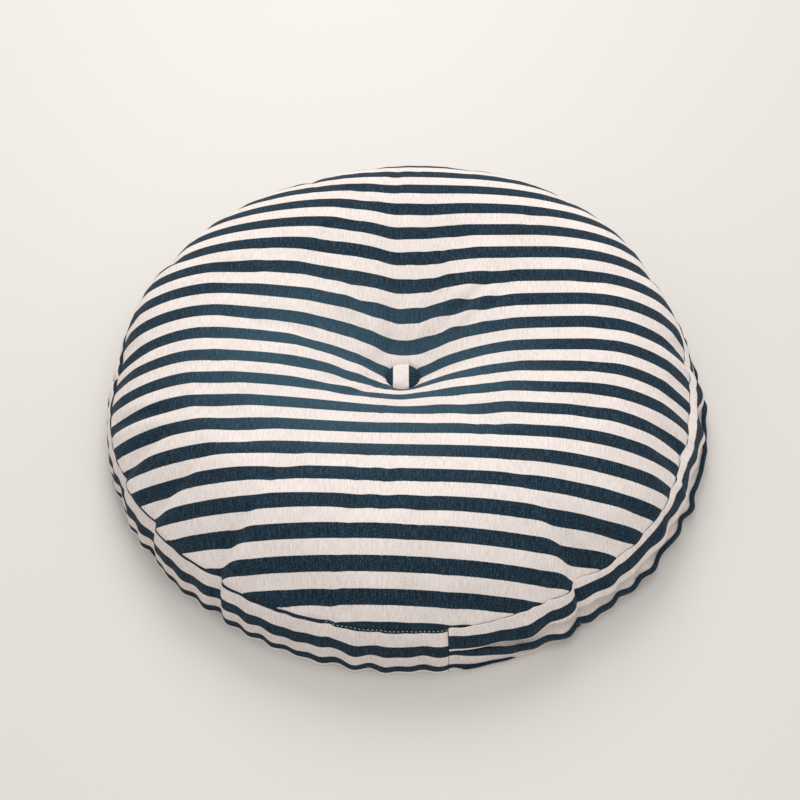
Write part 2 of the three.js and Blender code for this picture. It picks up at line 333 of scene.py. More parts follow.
def top_folds(x, y, radius, theta):
    """What is taken off the height: the flat-bottomed valley behind the button, and the creases."""
    lean = np.abs(turn_from(theta, VALLEY)) * radius
    reach = smooth(radius, 14 * MM, 30 * MM) * (1 - smooth(radius, 110 * MM, 215 * MM))
    trough = 1 - smooth(lean, VALLEY_FLOOR, VALLEY_SIDE + VALLEY_SPLAY * radius)
    drop = VALLEY_DEPTH * reach * trough * (0.72 + 0.28 * bump(radius - VALLEY_DEEPEST, VALLEY_LONG))
    for start, end, wide, deep in CREASES:
        drop = drop + fold(x, y, start, end, wide, deep)
    swell = bump(np.hypot(x - SWELL_X, y - SWELL_Y), SWELL_SIZE) * smooth(radius, 12 * MM, 40 * MM)
    past_button = np.clip(radius - BUTTON_RADIUS, 0, None)
    collar = smooth(radius, 0.8 * BUTTON_RADIUS, 1.15 * BUTTON_RADIUS) * np.exp(-past_button / COLLAR_FALL)
    front = 0.5 + 0.5 * smooth(-np.sin(theta), -0.2, 0.8)
    return drop - SWELL * swell - COLLAR * collar * front


def make_top():
    piece = disc_sheet("cover_top", RINGS_INSIDE + RINGS_OUTSIDE, SPOKES)
    flat = points_of(piece)
    share, theta = np.hypot(flat[:, 0], flat[:, 1]), np.arctan2(flat[:, 1], flat[:, 0])
    radius, z = top_shape(share, theta)
    seam_r, seam_z = top_seam(theta)
    x, y = radius * np.cos(theta), radius * np.sin(theta)
    z = z - top_folds(x, y, radius, theta)

    from_seam = np.hypot(seam_r - radius, z - seam_z)
    at_seam = gathered(theta, np.zeros_like(theta)) * np.exp(-from_seam / SPREAD_DRAW)
    draw = gathered(theta, from_seam) - at_seam
    steep = smooth(radius, CREST_RADIUS, seam_r)
    radius = radius - draw * steep * 0.7
    z = z - draw * (1 - 0.4 * steep)
    shape = turned(radius, z, theta)
    move_points(piece, shape)
    lay_pattern(piece, *top_pattern(shape))
    return piece


TWIST = 0.042  # the stripes run this much askew of the front seam
DRAWN_IN = 8 * MM  # cloth pulled in by the tuft
DRAW_CENTRE = -20 * MM  # it draws most towards a point a little in front of the button
DRAW_NEAR, DRAW_FAR = 12 * MM, 160 * MM
BOWED = 4.5 * MM  # the stripes bow forward at both sides
LAGGED = 3.5 * MM  # and are held back to the right of the button and at the left back


def shoulder_excess(radius, theta):
    """Cloth used up in going over the shoulder, beyond its plan distance."""
    over = np.linspace(0, 1, 400)
    width, height = RADIUS - CREST_RADIUS, CROWN - TOP_SEAM
    used = []
    for rounded in (0, 1):
        steps = np.hypot(np.diff(over) * width, np.diff(shoulder(over, rounded)) * height)
        extra = np.concatenate([[0], np.cumsum(steps)]) - over * width
        used.append(np.interp(radius, CREST_RADIUS + over * width, extra))
    return used[0] + (used[1] - used[0]) * edge_round(theta)


def top_pattern(points):
    """Flat pattern of the top: the cloth runs on over the shoulder, and is drawn in round the button."""
    x, y = points[:, 0], points[:, 1]
    radius = np.maximum(np.hypot(x, y), 1e-6)
    over = shoulder_excess(radius, np.arctan2(y, x)) / radius
    from_tuft = np.maximum(np.hypot(x, y - DRAW_CENTRE), 1e-6)
    drawn = DRAWN_IN * (1 - np.exp(-from_tuft / DRAW_NEAR)) * np.exp(-from_tuft / DRAW_FAR) / from_tuft
    u = x * (1 + over + drawn) - TWIST * y
    v = y * (1 + over) + (y - DRAW_CENTRE) * drawn + TWIST * x
    bow = smooth(np.abs(x), 20 * MM, 150 * MM) * bump(y - 10 * MM, 75 * MM)
    lag = bump(x - 55 * MM, 55 * MM) * bump(y + 50 * MM, 50 * MM)
    left_back = bump(x + 60 * MM, 60 * MM) * smooth(y, 60 * MM, 120 * MM)
    return u, v + BOWED * bow - LAGGED * (lag + left_back)


# ---- cloth simulation ----


def settle(piece, pins, pressure, cap, grow, frames=16):
    """Lets the cloth puff and wrinkle for a moment, and keeps at most cap of each point's travel."""
    before = points_of(piece)
    group = piece.vertex_groups.new(name="pins")
    for weight in np.unique(pins.round(2)):
        if weight > 0:
            group.add(np.flatnonzero(pins.round(2) == weight).tolist(), float(weight), "REPLACE")
    mod = piece.modifiers.new("puff", "CLOTH")
    cloth = mod.settings
    cloth.quality = 4
    cloth.mass = 0.25
    cloth.tension_stiffness = cloth.compression_stiffness = 25
    cloth.shear_stiffness = 8
    cloth.bending_stiffness = 0.4
    cloth.air_damping = 3
    cloth.vertex_group_mass = "pins"
    cloth.pin_stiffness = 5
    cloth.use_pressure = True
    cloth.uniform_pressure_force = pressure
    cloth.shrink_min = -grow
    cloth.effector_weights.gravity = 0
    mod.point_cache.frame_start, mod.point_cache.frame_end = 1, frames
    scene = bpy.context.scene
    for step in range(1, frames + 1):
        scene.frame_set(step)
    seen = piece.evaluated_get(bpy.context.evaluated_depsgraph_get()).data
    after = np.empty(len(seen.vertices) * 3)
    seen.vertices.foreach_get("co", after)
    after = after.reshape(-1, 3)
    piece.modifiers.remove(mod)
    scene.frame_set(1)
    travel = after - before
    length = np.linalg.norm(travel, axis=1, keepdims=True)
    move_points(piece, before + travel * np.minimum(1, cap / np.maximum(length, 1e-9)))
    piece.vertex_groups.clear()


def settle_top(piece):
    """Puffs the top panel, held along its seam and under the button."""
    points = points_of(piece)
    at_seam = points[:, 2] < TOP_SEAM + 2.5 * MM
    at_button = np.hypot(points[:, 0], points[:, 1]) < BUTTON_RADIUS * 0.95
    settle(piece, np.where(at_seam | at_button, 1.0, 0.0), pressure=1.6, cap=2.5 * MM, grow=0.012)


# ---- band and zip panel ----


def band_sheet(name, start, end, rows, columns):
    """A sheet one unit high, carried round Z from start to end. Its height runs 0 at the foot to 1."""
    bm = bmesh.new()
    post = [bm.verts.new((1, 0, i / rows)) for i in range(rows + 1)]
    edges = [bm.edges.new(pair) for pair in zip(post, post[1:])]
    bmesh.ops.rotate(bm, verts=post, cent=(0, 0, 0), matrix=Matrix.Rotation(start, 3, "Z"))
    bmesh.ops.spin(bm, geom=post + edges, cent=(0, 0, 0), axis=(0, 0, 1), angle=end - start,
                   steps=columns, use_merge=False)
    bmesh.ops.recalc_face_normals(bm, faces=bm.faces)
    if sum(f.normal.dot(f.calc_center_median().to_2d().to_3d()) for f in bm.faces) < 0:
        bmesh.ops.reverse_faces(bm, faces=bm.faces)
    return new_piece(bm, name)


def through(keys, at):
    """A smooth curve through [distance, value, value] keys, read at those distances."""
    keys = np.array(keys, float) * MM
    place = keys[:, 0]
    slope = np.gradient(keys[:, 1:], place, axis=0)
    i = np.clip(np.searchsorted(place, at) - 1, 0, len(place) - 2)
    gap = place[i + 1] - place[i]
    t = np.clip((at - place[i]) / gap, 0, 1)[:, None]
    start, end = keys[i, 1:], keys[i + 1, 1:]
    lead = (2 * t**3 - 3 * t**2 + 1) * start + (3 * t**2 - 2 * t**3) * end
    bend = (t**3 - 2 * t**2 + t) * slope[i] + (t**3 - t**2) * slope[i + 1]
    return lead + bend * gap[:, None]


PUCKER, SWAY, BAND_ROLL = 2.0 * MM, 0.9 * MM, 2.1 * MM  # close ridges, slow ones, and waves up and down
DRAW_SHARE = 0.75  # how much of the gathers and pleats of the seam runs on into the band
DRAW_REACH, PLUMP_REACH = 60 * MM, 30 * MM
HELD_FLAT = 5 * MM  # next to the seam the band has no ridges of its own
LOWEST = 1.3 * MM  # the band's folded foot stays this far above the floor
SLIDER_ENDS, SLIDER_SPREAD = (-72, 72), 12  # where the slider comes to rest, in degrees
SLACKER = 0.75  # how much of the band's waviness is taken out there


def puckers(theta, down):
    """Soft upright ridges in the band, strongest in its lower half."""
    low = smooth(down, 8 * MM, 40 * MM)
    close = PUCKER * wave(theta, 14, 46, 84, 0.1) * (0.25 + 0.75 * low)
    return close + SWAY * wave(theta, 15, 14, 30, 0.3) * low


def band_place(theta, out, down):
    """A point of the band from its distance out and down from the top seam, with gathers and puckers."""
    top_r, top_z = top_seam(theta)
    low_r, low_z = bottom_seam(theta)
    share = np.clip(down / (top_z - low_z), 0, 1)
    plump = RADIUS - SEAM_TUCK - top_r
    draw = gathered(theta, down, DRAW_REACH) - plump * np.exp(-down / PLUMP_REACH) * (1 - share)
    held = smooth(down, 0, HELD_FLAT)
    slack = 1 - SLACKER * sum(around(theta, degrees, SLIDER_SPREAD) for degrees in SLIDER_ENDS)
    radius = top_r + (low_r - top_r) * share**0.8 + out
    radius = radius - (draw * DRAW_SHARE + puckers(theta, down) * slack) * held
    z = top_z - down + BAND_ROLL * slack * wave(theta, 16, 20, 52, 0.3) * np.sin(math.pi * share)
    return radius, np.maximum(z, LOWEST)


def polar(piece):
    p = points_of(piece)
    return np.arctan2(p[:, 1], p[:, 0]), p[:, 2]


# Sections in mm. The plain band and the flap: (cloth distance, distance out, distance down) from the top
# seam. The flap hangs over the zip, and has one shape along the zip and one at its two ends.
PLAIN_SECTION = [(0, 0, 0), (7, 2.0, 6.6), (14.5, 3.6, 13.8), (27, 3.9, 26.2), (39.5, 3.3, 37.6),
                 (48, 2.4, 45.0), (51, 1.2, 46.5), (52.6, 1.6, 46.9), (54.6, 3.8, 46.5)]
FLAP_OPEN = [(0, 0, 0), (7, 1.8, 6.6), (12.5, 2.8, 11.8), (20, 3.4, 19.0), (25, 3.7, 23.8), (26.4, 3.1, 25.0),
             (28, 1.7, 24.8), (30.5, 0.6, 22.6)]
FLAP_END = [(0, 0, 0), (7, 2.2, 6.6), (12.5, 3.6, 11.6), (18, 3.8, 17.2), (21, 3.7, 20.2), (22.2, 3.0, 21.2),
            (23.6, 1.6, 21.0), (26, 0.6, 19.0)]
# the lower strip: (step, distance out, distance down, pattern), up from the bottom seam, over its rolled
# fold, into the valley behind it and on to the zip
LIP_OPEN = [(0, 2.2, 46.4, 34.5), (1, 0.6, 46.8, 32.6), (2, 5.0, 41.0, 26.5), (3, 8.0, 35.6, 21.5),
            (4, 7.6, 33.2, 19.0), (5, 5.2, 33.4, 16.6), (6, 2.2, 36.0, 13.0), (7, -0.6, 33.0, 8.5),
            (8, -3.0, 26.4, 3.0)]
LIP_END = [(0, 3.4, 46.5, 54.5), (1, 0.6, 46.4, 51.0), (2, 3.0, 38.4, 39.5), (3, 3.6, 28.0, 29.0),
           (4, 3.3, 22.8, 23.6), (5, 1.5, 22.4, 22.0), (6, 0.9, 24.4, 20.0), (7, 0.4, 24.0, 18.0),
           (8, 0, 22.4, 15.0)]

FLAP_WAVE, LIP_WAVE = 2.6 * MM, 2.8 * MM
LIP_STEP = 0.5  # the rolled edge is halfway along the lower strip's section
LIP_SHARE = 0.22  # and takes up this share of it
FLAP_SLIP = 10.2 * MM  # how far the flap's stripes are shifted
SLIP_LESS = 6.0 * MM  # how much less that is near the front join
SLIP_AT, SLIP_SPREAD = 60 * MM, 45 * MM


def finish_band(piece, theta, out, down, v):
    radius, z = band_place(theta, out, down)
    move_points(piece, turned(radius, z, theta))
    lay_pattern(piece, theta * RADIUS, v)


def make_plain_band():
    piece = band_sheet("cover_band", JOIN_REAR, JOIN_FRONT + 2 * math.pi, 24, 400)
    theta, up = polar(piece)
    theta = theta % (2 * math.pi)
    cloth_down = (1 - up) * PLAIN_SECTION[-1][0] * MM
    out, down = through(PLAIN_SECTION, cloth_down).T
    finish_band(piece, theta, out, down, cloth_down)
    return piece


def zip_open(theta):
    """0 at the two ends of the zip and 1 where its lapped edges stand free."""
    from_front, from_rear = (theta - JOIN_FRONT) * RADIUS, (JOIN_REAR - theta) * RADIUS
    return smooth(from_front, 4 * MM, 95 * MM) ** 0.6 * smooth(from_rear, 4 * MM, 60 * MM) ** 0.6


def blend_sections(open_section, end_section, along, share):
    """Reads two sections at the same share of their length and mixes them."""
    wide = through(open_section, along * open_section[-1][0] * MM)
    narrow = through(end_section, along * end_section[-1][0] * MM)
    return (narrow + (wide - narrow) * share[:, None]).T


def make_zip_upper():
    """The flap over the zip: it hangs from the top seam and is turned in at its lower edge."""
    piece = band_sheet("cover_zip_upper", JOIN_FRONT, JOIN_REAR, 22, 330)
    theta, up = polar(piece)
    share = zip_open(theta)
    out, down = blend_sections(FLAP_OPEN, FLAP_END, up, share)
    length = (FLAP_END[-1][0] + (FLAP_OPEN[-1][0] - FLAP_END[-1][0]) * share) * MM
    slip = FLAP_SLIP - SLIP_LESS * bump((theta - JOIN_FRONT) * RADIUS - SLIP_AT, SLIP_SPREAD)
    out = out + FLAP_WAVE * share * wave(theta, 31, 22, 54, 0.3) * smooth(down, 2 * MM, 16 * MM)
    finish_band(piece, theta, out, down, up * length + slip)
    return piece


def make_zip_lower():
    """The lower strip: it stands up from the bottom seam and rolls over behind the flap."""
    piece = band_sheet("cover_zip_lower", JOIN_FRONT, JOIN_REAR, 32, 330)
    theta, up = polar(piece)
    share = zip_open(theta)
    out, down, v = blend_sections(LIP_OPEN, LIP_END, up, share)
    at_lip = share * bump(up - LIP_STEP, LIP_SHARE)
    out = out + LIP_WAVE * at_lip * wave(theta, 33, 18, 44, 0.3)
    down = down + 0.7 * LIP_WAVE * at_lip * wave(theta, 34, 10, 24, 0.4)
    finish_band(piece, theta, out, down, v)
    return piece


UNDERSIDE = 0.3 * MM  # the bottom panel lies this far above the floor
UNDER_HELD, UNDER_FUNNEL = 13 * MM, 20 * MM  # the lower tuft: its flat middle, and how quickly it opens out


def under_tuft(radius):
    """1 at the lower button, falling away round it."""
    return np.exp(-np.clip(radius - UNDER_HELD, 0, None) / UNDER_FUNNEL)


def make_bottom():
    piece = disc_sheet("cover_bottom", 40, 200)
    flat = points_of(piece)
    share, theta = np.hypot(flat[:, 0], flat[:, 1]), np.arctan2(flat[:, 1], flat[:, 0])
    seam_r, seam_z = bottom_seam(theta)
    radius = seam_r * share
    lift = smooth(radius, 212 * MM, RADIUS) ** 1.2
    seat = UNDER_BUTTON_HIGH[2] + 0.4 * MM
    tuft = under_tuft(radius) * (1 - smooth(radius, 40 * MM, 75 * MM))
    crinkle = 0.5 * MM * wave(theta, 21, 5, 17, 0.4) * smooth(radius, 20 * MM, 45 * MM)
    crinkle *= 1 - smooth(radius, 60 * MM, 80 * MM)
    z = UNDERSIDE + lift * (seam_z - UNDERSIDE) + tuft * seat + np.clip(crinkle, 0, None)
    shape = turned(radius, z, theta)
    move_points(piece, shape)
    piece.data.flip_normals()
    lay_pattern(piece, shape[:, 0], shape[:, 1])
    return piece


# ---- the pad inside ----


def make_pad(name, inset):
    """The stuffed pad: the same form as the cover, that far inside it, closed and crowned."""
    rings, spokes = 36, 120
    bm = bmesh.new()
    spin_round(bm, [bm.verts.new((i / rings, 0, 0)) for i in range(2 * rings + 1)], spokes)
    piece = new_piece(bm, name)
    flat = points_of(piece)
    reach, theta = np.hypot(flat[:, 0], flat[:, 1]), np.arctan2(flat[:, 1], flat[:, 0])
    above = reach <= 1
    share = np.where(above, reach, 2 - reach)
    radius, z = top_shape(share, theta)
    z = z - top_folds(radius * np.cos(theta), radius * np.sin(theta), radius, theta) - inset
    squeeze = (RADIUS - 2.2 * inset) / RADIUS
    under = share * RADIUS
    low = inset + smooth(under, 205 * MM, RADIUS) * 14 * MM
    low = low + under_tuft(under) * UNDER_BUTTON_HIGH[2]
    radius = np.where(above, radius, under) * squeeze
    z = np.where(above, np.maximum(z, low + 2 * MM), low)
    shape = turned(radius, z, theta)
    move_points(piece, shape)
    lay_pattern(piece, shape[:, 0], shape[:, 1])
    outward(piece)
    return piece


def outward(piece):
    """Turns the faces of a closed piece outwards."""
    bm = bmesh.new()
    bm.from_mesh(piece.data)
    bmesh.ops.recalc_face_normals(bm, faces=bm.faces)
    bm.to_mesh(piece.data)
    bm.free()


# ---- buttons ----


DOME = 0.66  # share of the button's height taken by its dome
# the button's rim and underside: (share of the radius, share of the height)
BUTTON_UNDER = ((0.995, 0.22), (0.965, 0.08), (0.9, 0.0), (0.8, 0.02), (0.62, 0.05), (0.3, 0.08), (0, 0.08))
PINCH = 0.02  # how much the cloth is crimped round the rim


def make_button(name, low, high, face):
    """A cloth-covered button: a low dome, its cloth gathered in underneath."""
    radius, height = high[0], high[2] - low[2]
    rise = DOME * height
    bm = bmesh.new()
    row = [bm.verts.new((0, 0, height))]
    for i in range(1, 9):
        angle = i / 8 * math.pi / 2
        reach = math.sin(angle) ** 0.82
        row.append(bm.verts.new((radius * reach, 0, height - rise * (1 - math.cos(angle) ** 1.5))))
    row += [bm.verts.new((radius * share, 0, height * z)) for share, z in BUTTON_UNDER]
    spin_round(bm, row, 72)
    for v in bm.verts:
        theta = math.atan2(v.co.y, v.co.x)
        side = smooth(np.array(v.co.to_2d().length / radius), 0.86, 1.0) * (1 - v.co.z / height)
        crimp = 1 + PINCH * side * math.sin(17 * theta + 2 * math.sin(3 * theta))
        v.co.x *= crimp
        v.co.y *= crimp
    bmesh.ops.recalc_face_normals(bm, faces=bm.faces)
    piece = new_piece(bm, name)
    points = points_of(piece)
    flat = points.copy()
    if face < 0:
        points[:, 2] = height - points[:, 2]
        piece.data.flip_normals()
    points[:, 2] += low[2]
    move_points(piece, points)
    lay_pattern(piece, flat[:, 1], flat[:, 0] * 0.94)
    return piece


# ---- thread ----


def tube(name, path, radius, sides=8):
    """A round thread along a list of points, as a mesh."""
    curve = bpy.data.curves.new(name, "CURVE")
    curve.dimensions = "3D"
    curve.bevel_depth, curve.bevel_resolution, curve.use_fill_caps = radius, sides // 4, True
    spline = curve.splines.new("POLY")
    spline.points.add(len(path) - 1)
    for point, place in zip(spline.points, path):
        point.co = (*place, 1)
    holder = bpy.data.objects.new(name, curve)
    bpy.context.scene.collection.objects.link(holder)
    mesh = bpy.data.meshes.new_from_object(holder.evaluated_get(bpy.context.evaluated_depsgraph_get()))
    bpy.data.objects.remove(holder)
    piece = bpy.data.objects.new(name, mesh)
    mesh.name = name
    bpy.context.scene.collection.objects.link(piece)
    return piece


def joined(name, pieces):
    bm = bmesh.new()
    for piece in pieces:
        bm.from_mesh(piece.data)
        bpy.data.objects.remove(piece)
    return new_piece(bm, name)


PLY, TWIST_PITCH = 0.24 * MM, 3.2 * MM  # radius of one ply of the twine, and the length of one twist


def make_strands():
    """Two plied strands of waxed twine, down through the pad."""
    low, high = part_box("twine_strand_front")
    spread = abs(low[1] + high[1]) / 2
    plies = []
    for y in (-spread, spread):
        for phase in (0, math.pi):
            path = []
            for z in np.linspace(low[2], high[2], 60):
                angle = phase + (z - low[2]) / TWIST_PITCH * 2 * math.pi
                path.append((PLY * math.cos(angle), y + PLY * math.sin(angle), z))
            plies.append(tube("ply", path, PLY))
    return joined("tuft_twine", plies)


def stitches(name, line, normals, length, gap, thickness):
    """A dashed run of thread lying along a line: each stitch rises from the cloth and dips back."""
    steps = np.linalg.norm(np.diff(line, axis=0), axis=1)
    travelled = np.concatenate([[0], np.cumsum(steps)])
    pieces, start = [], 0.0
    while start + length < travelled[-1]:
        path = []
        for t in np.linspace(0, 1, 6):
            at = start + t * length
            place = [np.interp(at, travelled, line[:, k]) for k in range(3)]
            lift = [np.interp(at, travelled, normals[:, k]) for k in range(3)]
            rise = thickness * (1.5 * math.sin(math.pi * t) - 0.6)
            path.append([p + rise * n for p, n in zip(place, lift)])
        pieces.append(tube("stitch", path, thickness / 2, 4))
        start += length + gap
    return joined(name, pieces)


STITCH_LENGTH, STITCH_GAP, THREAD = 1.1 * MM, 2.3 * MM, 0.4 * MM


def seam_stitches(name, start, end, below):
    """Stitches that show in the band, just below the top seam."""
    theta = np.linspace(start, end, int((end - start) * RADIUS / MM))
    out, down = through(PLAIN_SECTION, np.full_like(theta, below)).T
    radius, z = band_place(theta, out, down)
    lift = np.stack([np.cos(theta), np.sin(theta), np.zeros_like(theta)], axis=1)
    line = lift * radius[:, None]
    line[:, 2] = z
    return stitches(name, line, lift, STITCH_LENGTH, STITCH_GAP, THREAD)


# ---- zip ----

CHAIN_Z = (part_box("zip_coil_lower")[1][2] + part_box("zip_coil_upper")[0][2]) / 2
COIL_RADIUS = 249.0 * MM
TAPE_RADIUS = 247.6 * MM
ZIP_START, ZIP_END = JOIN_FRONT + math.radians(3), JOIN_REAR - math.radians(3)
TAPE_THICK = 0.6 * MM
COIL_PITCH, COIL_WIRE, LOOP_RADIUS = 2.4 * MM, 0.42 * MM, 0.5 * MM
LOOP_SQUEEZE = (0.85, 0.9, 0.85)
COIL_ASIDE = 1.6 * MM  # each half's distance from the middle of the zip


def make_tape(name, node):
    low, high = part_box(node)
    piece = band_sheet(name, ZIP_START, ZIP_END, 6, 160)
    theta, up = polar(piece)
    move_points(piece, turned(np.full_like(theta, TAPE_RADIUS), low[2] + (high[2] - low[2]) * up, theta))
    lay_pattern(piece, (theta - ZIP_START) * TAPE_RADIUS, up * (high[2] - low[2]))
    thicken(piece, TAPE_THICK, 0)
    return piece


def make_coil(name, side):
    """One half of a coil zip: a row of small loops sewn along the tape's edge."""
    count = int((ZIP_END - ZIP_START) * COIL_RADIUS / COIL_PITCH)
    bm = bmesh.new()
    loop = bmesh.ops.create_circle(bm, segments=6, radius=COIL_WIRE, cap_ends=False)["verts"]
    bmesh.ops.rotate(bm, verts=loop, cent=(0, 0, 0), matrix=Matrix.Rotation(math.pi / 2, 3, "X"))
    bmesh.ops.translate(bm, verts=loop, vec=(LOOP_RADIUS, 0, 0))
    bmesh.ops.spin(bm, geom=bm.verts[:] + bm.edges[:], cent=(0, 0, 0), axis=(0, 1, 0), angle=2 * math.pi,
                   steps=10, use_merge=True)
    bmesh.ops.remove_doubles(bm, verts=bm.verts, dist=1e-7)
    bmesh.ops.scale(bm, verts=bm.verts, vec=LOOP_SQUEEZE)
    single = bm.verts[:] + bm.edges[:] + bm.faces[:]
    bmesh.ops.translate(bm, verts=bm.verts, vec=(COIL_RADIUS, 0, CHAIN_Z + side * COIL_ASIDE))
    for i in range(1, count):
        made = bmesh.ops.duplicate(bm, geom=single)["geom"]
        corners = [g for g in made if isinstance(g, bmesh.types.BMVert)]
        bmesh.ops.rotate(bm, verts=corners, cent=(0, 0, 0),
                         matrix=Matrix.Rotation(i * COIL_PITCH / COIL_RADIUS, 3, "Z"))
    bmesh.ops.rotate(bm, verts=bm.verts, cent=(0, 0, 0), matrix=Matrix.Rotation(ZIP_START, 3, "Z"))
    bmesh.ops.recalc_face_normals(bm, faces=bm.faces)
    return new_piece(bm, name)


# ---- materials ----

CREAM = (0.84, 0.772, 0.72)
CREAM_DARK = (0.56, 0.43, 0.375)
NAVY = (0.0035, 0.0115, 0.022)
NAVY_LIGHT = (0.042, 0.092, 0.128)


class Graph:
    """Short hand for building a node tree: each call adds a node and returns its output."""

    def __init__(self, name):
        self.material = bpy.data.materials.new(name)
        self.material.use_nodes = True
        self.nodes = self.material.node_tree.nodes
        self.links = self.material.node_tree.links
        self.shader = self.nodes["Principled BSDF"]

    def feed(self, socket, value):
        if isinstance(value, bpy.types.NodeSocket):
            self.links.new(value, socket)
        else:
            socket.default_value = value

    def add(self, kind, output=0, **settings):
        node = self.nodes.new(kind)
        inputs = settings.pop("inputs", {})
        for key, value in settings.items():
            setattr(node, key, value)
        for key, value in inputs.items():
            self.feed(node.inputs[key], value)
        return node.outputs[output]

    def math(self, operation, *values):
        node = self.nodes.new("ShaderNodeMath")
        node.operation = operation
        for socket, value in zip(node.inputs, values):
            self.feed(socket, value)
        return node.outputs[0]

    def ramp(self, value, low, high):
        return self.add("ShaderNodeMapRange", inputs={"Value": value, "From Min": low, "From Max": high},
                        interpolation_type="SMOOTHSTEP")

    def blend(self, share, first, second, mode="MIX"):
        """Mixes two colours. The colour sockets of a Mix node are its inputs 6 and 7 and its output 2."""
        node = self.nodes.new("ShaderNodeMix")
        node.data_type, node.blend_type = "RGBA", mode
        for socket, value in zip((0, 6, 7), (share, first, second)):
            self.feed(node.inputs[socket], (*value, 1) if isinstance(value, tuple) else value)
        return node.outputs[2]

    def noise(self, vector, scale, detail=2.0, roughness=0.5):
        return self.add("ShaderNodeTexNoise", inputs={"Vector": vector, "Scale": scale, "Detail": detail,
                                                      "Roughness": roughness})

    def stretched(self, u, v, along, across):
        """A vector whose noise has grains that long along U and across V, in metres."""
        return self.add("ShaderNodeCombineXYZ", inputs={"X": self.math("DIVIDE", u, along),
                                                        "Y": self.math("DIVIDE", v, across), "Z": 0.0})

    def finish(self, colour, roughness, height=None, strength=0.3, distance=0.3 * MM):
        self.feed(self.shader.inputs["Base Color"], colour)
        self.feed(self.shader.inputs["Roughness"], roughness)
        if height is not None:
            relief = self.add("ShaderNodeBump", inputs={"Height": height, "Strength": strength,
                                                        "Distance": distance})
            self.feed(self.shader.inputs["Normal"], relief)
        return self.material


THREAD_PITCH = 0.75 * MM
# the paler part of the top, a painted glare of window light on the navy: its half length and half width,
# and how far left and in front of the button its middle lies
GLARE_LONG, GLARE_WIDE, GLARE_LEFT, GLARE_FRONT = 190 * MM, 130 * MM, 35 * MM, 25 * MM
EDGE = 0.02  # softness of a stripe's edge, in stripe periods


def cloth(name, stripe_shift=None, plain=None, painted_glare=0.0):
    """Plain-weave cloth, striped along U, or in one plain pair of colours."""
    g = Graph(name)
    uv = g.add("ShaderNodeUVMap", uv_map="pattern")
    split = g.nodes.new("ShaderNodeSeparateXYZ")
    g.feed(split.inputs[0], uv)
    u, v = split.outputs[0], split.outputs[1]

    slub_across = g.noise(g.stretched(u, v, 0.9 * MM, 9 * MM), 1.0, 3.0, 0.65)
    slub_along = g.noise(g.stretched(u, v, 11 * MM, 0.8 * MM), 1.0, 3.0, 0.65)
    fleck = g.noise(g.stretched(u, v, 1.5 * MM, 1.3 * MM), 1.0, 3.0, 0.7)
    patch = g.noise(g.stretched(u, v, 45 * MM, 38 * MM), 1.0, 2.0, 0.5)

    over_u = g.math("SINE", g.math("MULTIPLY", u, math.pi / THREAD_PITCH))
    over_v = g.math("SINE", g.math("MULTIPLY", v, math.pi / THREAD_PITCH))
    check = g.math("MULTIPLY", over_u, over_v)
    weave = g.math("MULTIPLY", g.math("ABSOLUTE", over_u), g.math("ABSOLUTE", over_v))
    threads = g.math("ADD", weave, g.math("MULTIPLY", check, 0.25))
    slubs = g.math("ADD", g.math("MULTIPLY", slub_across, 0.9), g.math("MULTIPLY", slub_along, 0.6))
    height = g.math("ADD", threads, slubs)

    light, dark = plain or (CREAM, CREAM_DARK)
    mottle = g.math("ADD", g.math("MULTIPLY", slub_across, 0.6), g.math("MULTIPLY", fleck, 0.4))
    streak = g.math("MULTIPLY", g.ramp(mottle, 0.40, 0.66), 0.6)
    colour = g.blend(streak, light, dark)
    if plain is None:
        ragged = g.math("MULTIPLY", g.math("SUBTRACT", slub_across, 0.5), 0.05)
        place = g.math("ADD", g.math("DIVIDE", g.math("ADD", v, stripe_shift), PERIOD), ragged)
        beat = g.math("FRACT", place)
        navy = g.math("SUBTRACT", g.ramp(beat, 0.0, EDGE), g.ramp(beat, 0.5, 0.5 + EDGE))
        specks = g.math("ADD", g.math("MULTIPLY", fleck, 0.55), g.math("MULTIPLY", slub_across, 0.45))
        # painted glare: the navy is lightened towards a patch left of and in front of the button, standing for
        # window light caught on the top
        from_left = g.math("POWER", g.math("DIVIDE", g.math("ADD", u, GLARE_LEFT), GLARE_LONG), 2.0)
        from_front = g.math("POWER", g.math("DIVIDE", g.math("ADD", v, GLARE_FRONT), GLARE_WIDE), 2.0)
        from_middle = g.math("ADD", from_left, from_front)
        wear_and_painted_glare = g.math("MULTIPLY", g.math("SUBTRACT", 1.0, g.ramp(from_middle, 0.0, 1.0)), painted_glare)
        dark_cloth = g.blend(g.math("ADD", g.ramp(specks, 0.43, 0.70), wear_and_painted_glare), NAVY, NAVY_LIGHT)
        colour = g.blend(navy, colour, dark_cloth)
    shade = g.blend(g.ramp(patch, 0.3, 0.7), (0.94, 0.94, 0.95), (1.0, 1.0, 1.0))
    tinted = g.blend(1.0, colour, shade, "MULTIPLY")

    roughness = g.math("ADD", g.math("MULTIPLY", fleck, 0.12), 0.84)
    material = g.finish(tinted, roughness, height, 0.35, 0.28 * MM)
    g.shader.inputs["Sheen Weight"].default_value = 0.05
    g.shader.inputs["Sheen Roughness"].default_value = 0.45
    g.shader.inputs["Sheen Tint"].default_value = (0.86, 0.92, 1.0, 1)
    g.shader.inputs["Specular IOR Level"].default_value = 0.18
    return material


def object_noise(g, scale, detail):
    where = g.add("ShaderNodeTexCoord", output=3)  # Object coordinates
    return g.noise(where, scale, detail)


def thread_material(name, colour, dark):
    g = Graph(name)
    grain = object_noise(g, 2500, 2.0)
    material = g.finish(g.blend(grain, dark, colour), 0.75, grain, 0.5, 0.1 * MM)
    g.shader.inputs["Sheen Weight"].default_value = 0.2
    return material


